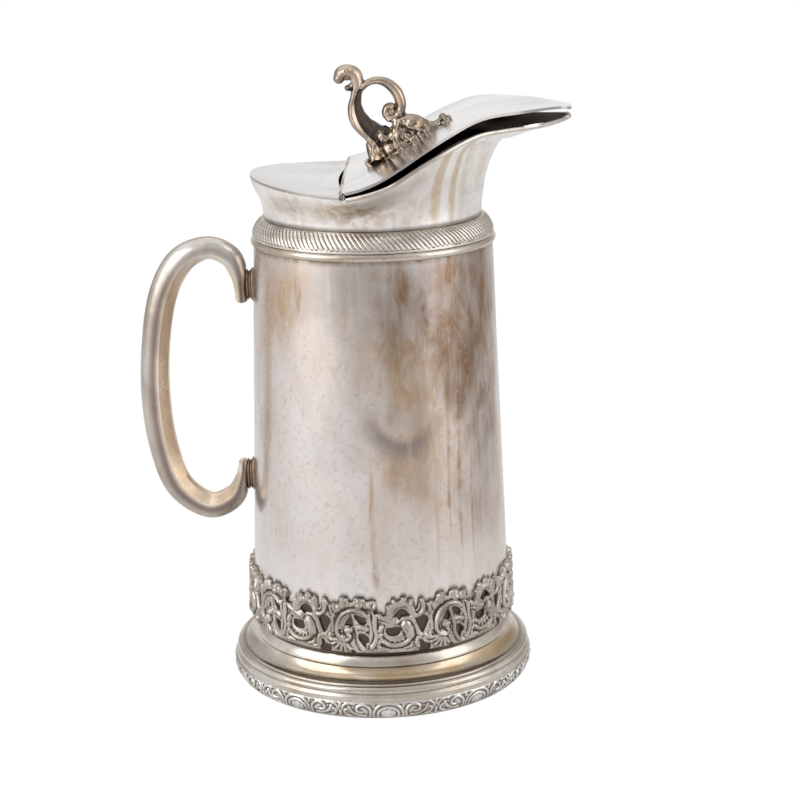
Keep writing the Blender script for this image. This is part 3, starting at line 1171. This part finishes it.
bars += [lump(x, z, 0.0, length, height, depth) for x, z, length, height, depth in (
    (-14.0, 287.0, 2.7, 2.7, 4.0), (-10.4, 288.4, 3.4, 2.6, 3.4), (-9.9, 282.5, 1.7, 1.5, 2.4),
    (9.6, 271.3, 2.3, 2.3, 3.0), (5.8, 259.6, 3.4, 3.0, 3.9), (8.6, 254.8, 3.6, 3.4, 5.4),
    (9.9, 260.2, 2.6, 3.0, 4.6), (17.4, 266.0, 3.4, 2.9, 5.3), (21.4, 264.6, 3.6, 3.1, 5.6),
    (25.2, 262.8, 3.1, 2.9, 5.2), (19.4, 259.6, 3.5, 3.2, 5.5), (22.8, 261.2, 2.8, 2.4, 5.2),
    (15.6, 257.0, 2.8, 2.4, 5.0), (30.2, 264.6, 4.2, 1.5, 4.2), (33.3, 268.5, 1.7, 1.7, 4.4),
    (36.0, 266.4, 1.7, 2.9, 5.0), (34.4, 265.8, 2.6, 2.4, 4.6),
)]
bars += [lump(x, z, side * y, size, size, size) for side in (-1, 1) for x, z, y, size in (
    (-11.0, 290.2, 3.0, 1.9), (-7.8, 290.8, 2.8, 1.7), (25.8, 262.6, 4.0, 2.2),
    (20.2, 258.8, 4.4, 2.3), (16.6, 260.8, 4.6, 1.8), (22.6, 265.6, 4.3, 1.9), (18.2, 267.2, 4.0, 1.8),
    (28.4, 263.6, 3.4, 1.5),
)]
points, faces = [], []
for grid, quads in bars:
    shift = sum(len(g) for g in points)
    points.append(grid)
    faces += [tuple(shift + p for p in face) for face in quads]
copper = chased(
    "worn_copper",
    bright=(0.58, 0.46, 0.37, 1),
    dull=(0.30, 0.25, 0.205, 1),
    dark=(0.050, 0.043, 0.037, 1),
    rough=0.25,
    grip=(0.52, 0.92),
)
depth_in = copper.node("ShaderNodeMath", {"operation": "ABSOLUTE"}, {0: copper.axis("Y")})
between_sides = 1.0 - copper.rise(depth_in, 2.0 * mm, 3.0 * mm)
below_head = 1.0 - copper.rise(copper.axis("Z"), 282 * mm, 285 * mm)
off_the_leaves = 1.0 - copper.rise(copper.axis("X"), 8 * mm, 11 * mm) * 0.7
sunk = between_sides * below_head * off_the_leaves
bare_copper = (0.62, 0.44, 0.27, 1)
web_black = (0.060, 0.054, 0.048, 1)
rubbed_through = copper.rise(copper.noise(260, detail=6), 0.5, 0.64)
colour = copper.blend(rubbed_through * 0.4, copper.base_colour(), bare_copper)
copper.cover(Base_Color=copper.blend(sunk * 0.85, colour, web_black))
thumbpiece = make(
    "thumbpiece", np.vstack(points) * mm, faces, "lid", "worn_copper", copper, ["finial"], crease=180,
)
remesh = thumbpiece.modifiers.new("cast_in_one", "REMESH")
remesh.mode = "VOXEL"
cast_grain = 0.34
remesh.voxel_size = cast_grain * mm
melt = thumbpiece.modifiers.new("soft_edges", "SMOOTH")
melt.factor = 0.5
melt.iterations = 2
bpy.context.view_layer.update()
cast = bpy.data.meshes.new_from_object(thumbpiece.evaluated_get(bpy.context.evaluated_depsgraph_get()))
thumbpiece.modifiers.clear()
thumbpiece.data = cast
lid_low = [(-14, 241.6), (-5.2, 243.4), (7.9, 249.2), (21, 257.5), (38.9, 267.4), (50, 271.7)]
lid_sheet = 1.2
lid_top = np.array([(x, z + lid_sheet) for x, z in curve_through(lid_low, 12)]) * mm
co = np.zeros(len(cast.vertices) * 3)
cast.vertices.foreach_get("co", co)
co = co.reshape(-1, 3)
leaves_from_x, leaves_below_z, leaves_fade = -2, 272, 4
leafy = np.clip((co[:, :1] / mm - leaves_from_x) / leaves_fade, 0, 1)
leafy = leafy * np.clip((leaves_below_z - co[:, 2:] / mm) / leaves_fade, 0, 1)
crumple = np.sin(co[:, [1, 2, 0]] / mm * 0.95 + 0.6) * np.cos(co[:, [2, 0, 1]] / mm * 1.25)
crumple_depth, leaf_crumple, vein_depth = 0.03, 0.24, 0.07
co += (crumple_depth + leaf_crumple * leafy) * mm * crumple
veins = np.sin((0.8 * co[:, :1] + 0.5 * co[:, 2:]) / mm * 2.6 + np.sin(co[:, 1:2] / mm * 0.9))
co += vein_depth * leafy * mm * veins
co[:, 2] = np.maximum(co[:, 2], np.interp(co[:, 0], lid_top[:, 0], lid_top[:, 1]))
cast.vertices.foreach_set("co", co.reshape(-1))
cast.shade_smooth()
cast.update()
mark_hollows(thumbpiece, reach=14, scale=0.16)

# Handle: cast in one piece with a crease along each side, buffed, warm where it is held.
# Both ends are brazed to the sockets on the body.
handle_plate = Finish("handle_plate", Metallic=1.0)
crossed = handle_plate.node("ShaderNodeAttribute", {"attribute_name": "round_bar"}, {}, "Fac")
clouds = handle_plate.rise(handle_plate.noise(34, detail=6, distortion=0.8), 0.34, 0.66)
grain = handle_plate.noise(600, detail=5)
along_bar = handle_plate.rise(handle_plate.noise(150, stretch=(1, 1, 0.1), detail=4), 0.45, 0.7)
outer_silver = handle_plate.blend(clouds, (0.55, 0.505, 0.45, 1), (0.40, 0.35, 0.30, 1))
inner_gold = handle_plate.blend(clouds, (0.92, 0.81, 0.66, 1), (0.70, 0.57, 0.43, 1))
purple = handle_plate.blend(clouds, (0.27, 0.21, 0.19, 1), (0.19, 0.155, 0.145, 1))
colour = handle_plate.blend(handle_plate.rise(crossed, 0.26, 0.5), inner_gold, purple)
colour = handle_plate.blend(handle_plate.rise(crossed, 0.52, 0.8), colour, outer_silver)
top_of_loop = handle_plate.rise(handle_plate.axis("Z"), 190 * mm, 208 * mm)
loop_pale = (0.69, 0.67, 0.65, 1)
streak_brown = (0.30, 0.21, 0.14, 1)
speck_brown = (0.32, 0.24, 0.19, 1)
colour = handle_plate.blend(top_of_loop * 0.7, colour, loop_pale)
colour = handle_plate.blend(along_bar * 0.25, colour, streak_brown)
colour = handle_plate.blend(handle_plate.rise(grain, 0.52, 0.8) * 0.25, colour, speck_brown)
handle_plate.cover(Base_Color=colour, Roughness=0.27 + clouds * 0.06 + (grain - 0.5) * 0.14)
handle_plate.bump(handle_plate.noise(900, stretch=(1, 1, 0.3), detail=5), 0.00003, 0.5)
guide = curve_through(
    [
        (-62.8, 5.6, 182.8), (-62.9, 6.4, 190.0), (-63.8, 8.6, 197.6), (-68.0, 10.2, 205.6),
        (-78.5, 10.6, 209.4), (-91.5, 12.9, 203.0), (-100.4, 13.3, 186.5), (-104.9, 13.3, 162.0),
        (-105.98, 13.7, 137.0), (-103.5, 13.6, 113.0), (-96.8, 13.2, 93.0), (-82.5, 12.4, 82.5),
        (-70.4, 10.8, 87.0), (-65.9, 6.4, 97.0), (-64.8, 4.9, 105.6),
    ],
    16,
)
way = np.gradient(guide[:, [0, 2]], axis=0)
way /= np.linalg.norm(way, axis=1)[:, None]
thick = guide[:, 1]
least_depth, depth_share = 3.0, 0.33
deep = least_depth + depth_share * thick
# Its section is a round outer bow and three flat inner facets, in shares of thick and deep.
phi = np.linspace(0, math.pi, 25)
inner_run = np.linspace(0, 1, 7)[1:-1]
bow = [(-0.2 + 0.7 * math.sin(t), math.cos(t)) for t in phi]
facet_down = [(-0.2 - 0.3 * q, -1 + 0.7 * q) for q in inner_run]
facet_across = [(-0.5 - 0.02 * math.cos(q * math.pi / 2), q * 0.3) for q in (-1, -0.5, 0, 0.5, 1)]
facet_up = [(-0.5 + 0.3 * q, 0.3 + 0.7 * q) for q in inner_run]
section = np.array(bow + facet_down + facet_across + facet_up)
out = section[:, 0][None, :] * thick[:, None]
across = section[:, 1][None, :] * deep[:, None]
tips = np.linspace(0, 1, len(guide))
tip_from, tip_reach, tip_least = 0.965, 0.0355, 0.03
into_tip = np.clip(np.abs(2 * tips - 1), tip_from, 1) - tip_from
tip_share = np.sqrt(np.clip(1 - into_tip**2 / tip_reach**2, tip_least, 1))[:, None]
x = guide[:, 0][:, None] + way[:, 1][:, None] * out * tip_share
z = guide[:, 2][:, None] - way[:, 0][:, None] * out * tip_share
sockets = {"upper": (191.4, 8.1, -60.3), "lower": (98.2, 8.4, -63.3)}
trim_margin = 0.6
for socket_z, half_height, face_x in sockets.values():
    beside = np.abs(z - socket_z) < half_height + trim_margin
    x = np.where(beside, np.minimum(x, face_x), x)
points = np.stack([x, across * tip_share, z], -1).reshape(-1, 3)
faces = bar_faces(len(guide), len(section))
handle = make("handle_bar", points * mm, faces, "jug", "handle_silver", handle_plate, ["handle"], crease=28)
share_across = np.tile((section[:, 0] + 0.5).astype(np.float32), len(guide))
handle.data.attributes.new("round_bar", "FLOAT", "POINT").data.foreach_set("value", share_across)

# Sockets between the handle and the body: stacked rounded collars, cast, with tarnish between them.
# They are soldered to the body, and their inner ends are sunk a little into its wall.
socket_plate = plated(
    "socket_plate",
    bright=(0.40, 0.31, 0.235, 1),
    dull=(0.24, 0.17, 0.12, 1),
    stain=(0.08, 0.052, 0.036, 1),
    rough=0.26,
)
socket_half_depth = 5.0
socket_profile = [
    (0.02, 0.05), (0.0, 0.80), (0.12, 0.87), (0.4, 0.91), (0.75, 0.90), (1.0, 0.84), (1.15, 0.78),
    (1.35, 0.80), (1.65, 0.86), (1.9, 0.86), (2.1, 0.84), (2.3, 0.90), (2.6, 0.97), (3.0, 1.0),
    (3.4, 1.0), (3.8, 0.985),
]
into_wall = 0.5
socket_sides = 64
for name, (socket_z, half_height, face_x) in sockets.items():
    wall_x = -body_radius_at(socket_z) + into_wall
    rings = [(face_x + x, share) for x, share in socket_profile if face_x + x < wall_x - 0.4]
    rings += [(wall_x, 0.985), (wall_x + 0.05, 0.05)]
    t = np.linspace(0, 2 * math.pi, socket_sides, endpoint=False)[None, :]
    stop, share = np.array(rings).T[:, :, None]
    y = share * socket_half_depth * np.cos(t)
    z = socket_z + share * half_height * np.sin(t)
    lean = body_slope * (z - socket_z) * (stop > wall_x - 0.2)
    points = np.stack([stop + lean + 0 * t, y, z], -1).reshape(-1, 3)
    faces = bar_faces(len(rings), socket_sides)
    node = f"{name}_ferrule"
    make(f"{name}_socket", points * mm, faces, "jug", "silver_plate", socket_plate, [node], crease=50)

# Inside: the neck plate that is the collar's floor, and the silvered glass flask with its mounts.
# The glass is blown and silvered between its walls, and stands in a plastic cup on rubber.
dress("neck_plate", under_plate)
glass_skin = Finish("silvered_glass", Metallic=0.85, Coat_Weight=1.0)
cloudy = glass_skin.noise(60, detail=3)
glass_skin.cover(
    Base_Color=glass_skin.blend(cloudy, (0.80, 0.81, 0.82, 1), (0.66, 0.67, 0.70, 1)),
    Roughness=0.06 + cloudy * 0.06,
)
for node in ("flask_inner_wall", "flask_outer_wall"):
    dress(node, glass_skin)
rubber = Finish("black_rubber")
bloom = rubber.noise(300, detail=6)
rubber.cover(
    Base_Color=rubber.blend(bloom, (0.030, 0.028, 0.027, 1), (0.075, 0.070, 0.066, 1)),
    Roughness=0.65 + bloom * 0.2,
)
for node in ("neck_gasket", "cushion_ring", "tip_cap", "spacer_pads"):
    dress(node, rubber)
moulded = Finish("cup_plastic")
speckle = moulded.noise(900, detail=4)
moulded.cover(
    Base_Color=moulded.blend(speckle, (0.62, 0.60, 0.54, 1), (0.52, 0.50, 0.45, 1)),
    Roughness=0.45 + speckle * 0.15,
)
moulded.bump(speckle, 0.00003, 0.4)
dress("support_cup", moulded)

# Studio: a pale paper floor without edges in a white room, greyer behind the camera, to the far
# sides and overhead. Three soft lamps stand to the left, to the right and above.
floor_half = 3.0
floor_mesh = bpy.data.meshes.new("floor")
corners = [
    (-floor_half, -floor_half, 0), (floor_half, -floor_half, 0), (floor_half, floor_half, 0),
    (-floor_half, floor_half, 0),
]
floor_mesh.from_pydata(corners, [], [(0, 1, 2, 3)])
floor = bpy.data.objects.new("floor", floor_mesh)
bpy.context.scene.collection.objects.link(floor)
paper = Finish("floor_paper", Roughness=0.9)
paper.cover(Base_Color=(0.86, 0.86, 0.86, 1))
glow = paper.node("ShaderNodeEmission", {}, {"Color": (1, 1, 1, 1), "Strength": 1.03})
to_camera = paper.node("ShaderNodeLightPath", {}, {}, "Is Camera Ray")
matte = Value(paper, paper.surface.outputs[0])
seen = paper.node("ShaderNodeMixShader", {}, {0: to_camera * 0.94, 1: matte, 2: glow})
paper.tree.links.new(seen.socket, paper.tree.nodes["Material Output"].inputs["Surface"])
floor_mesh.materials.append(paper.material)

sky = bpy.data.worlds.new("studio")
bpy.context.scene.world = sky
sky.use_nodes = True
room = Recipe(sky.node_tree)
direction = room.node("ShaderNodeTexCoord", {}, {}, "Generated")
north = room.node("ShaderNodeSeparateXYZ", {}, {0: direction}, "Y")
above = room.node("ShaderNodeSeparateXYZ", {}, {0: direction}, "Z")
white = (1, 1, 1, 1)
wall_white = (0.95, 0.94, 0.93, 1)
camera_side_grey = (0.42, 0.38, 0.36, 1)
far_side_brown = (0.36, 0.31, 0.27, 1)
ceiling_pale = (0.74, 0.74, 0.75, 1)
overhead_grey = (0.50, 0.50, 0.51, 1)
towards_camera = room.rise(north * -1.0, 0.55, 1.0)
beside = room.rise(north, 0.2, 0.7) * (1.0 - room.rise(north, 0.86, 0.97))
shade = room.blend(towards_camera * 0.75, wall_white, camera_side_grey)
shade = room.blend(beside * 0.7, shade, far_side_brown)
shade = room.blend(room.rise(above, 0.25, 0.8) * 0.5, shade, ceiling_pale)
shade = room.blend(room.rise(above, 0.72, 0.96) * 0.8, shade, overhead_grey)
seen_directly = room.node("ShaderNodeLightPath", {}, {}, "Is Camera Ray")
shade = room.blend(seen_directly, shade, white)
background = sky.node_tree.nodes["Background"]
room.put(background.inputs["Color"], shade)
room.put(background.inputs["Strength"], 1.0)


def softbox(name, place, aim, width, height, power):
    """A soft rectangular lamp at place, turned towards aim."""
    lamp = bpy.data.lights.new(name, "AREA")
    lamp.shape = "RECTANGLE"
    lamp.size = width
    lamp.size_y = height
    lamp.energy = power
    holder = bpy.data.objects.new(name, lamp)
    holder.location = place
    holder.rotation_euler = (Vector(aim) - Vector(place)).to_track_quat("-Z", "Y").to_euler()
    bpy.context.scene.collection.objects.link(holder)


middle = (0, 0, 0.14)
softbox("left_softbox", (-1.1, -0.7, 0.7), middle, 1.1, 1.3, 9)
softbox("right_softbox", (1.2, -0.5, 0.6), middle, 0.8, 1.2, 4)
softbox("top_softbox", (-0.1, 0.2, 1.3), middle, 1.5, 1.3, 4)

# Camera: a long lens, a little above the lid, tipped down.
# It stands 0.9 m from the jug's axis and sees the jug from the front, with the spout to the right.
photo_width = 800
focal_pixels = 1943.2
orbit = math.radians(1.5)
pitch = math.radians(14.933)
yaw = math.radians(0.701) - orbit
roll = math.radians(-1.182)
forward = Vector((math.sin(yaw) * math.cos(pitch), math.cos(yaw) * math.cos(pitch), -math.sin(pitch)))
level = Vector((math.cos(yaw), -math.sin(yaw), 0))
upward = level.cross(forward)
right = math.cos(roll) * level + math.sin(roll) * upward
top = -math.sin(roll) * level + math.cos(roll) * upward
eye = bpy.data.cameras.new("camera")
eye.lens = focal_pixels / photo_width * eye.sensor_width
camera = bpy.data.objects.new("camera", eye)
turn = Matrix((right, top, -forward)).transposed().to_4x4()
distance, eye_height = 0.9, 0.3736
spot = Vector((distance * math.sin(orbit), -distance * math.cos(orbit), eye_height))
camera.matrix_world = Matrix.Translation(spot) @ turn
bpy.context.scene.collection.objects.link(camera)
bpy.context.scene.camera = camera
bpy.context.scene.view_settings.view_transform = "Standard"
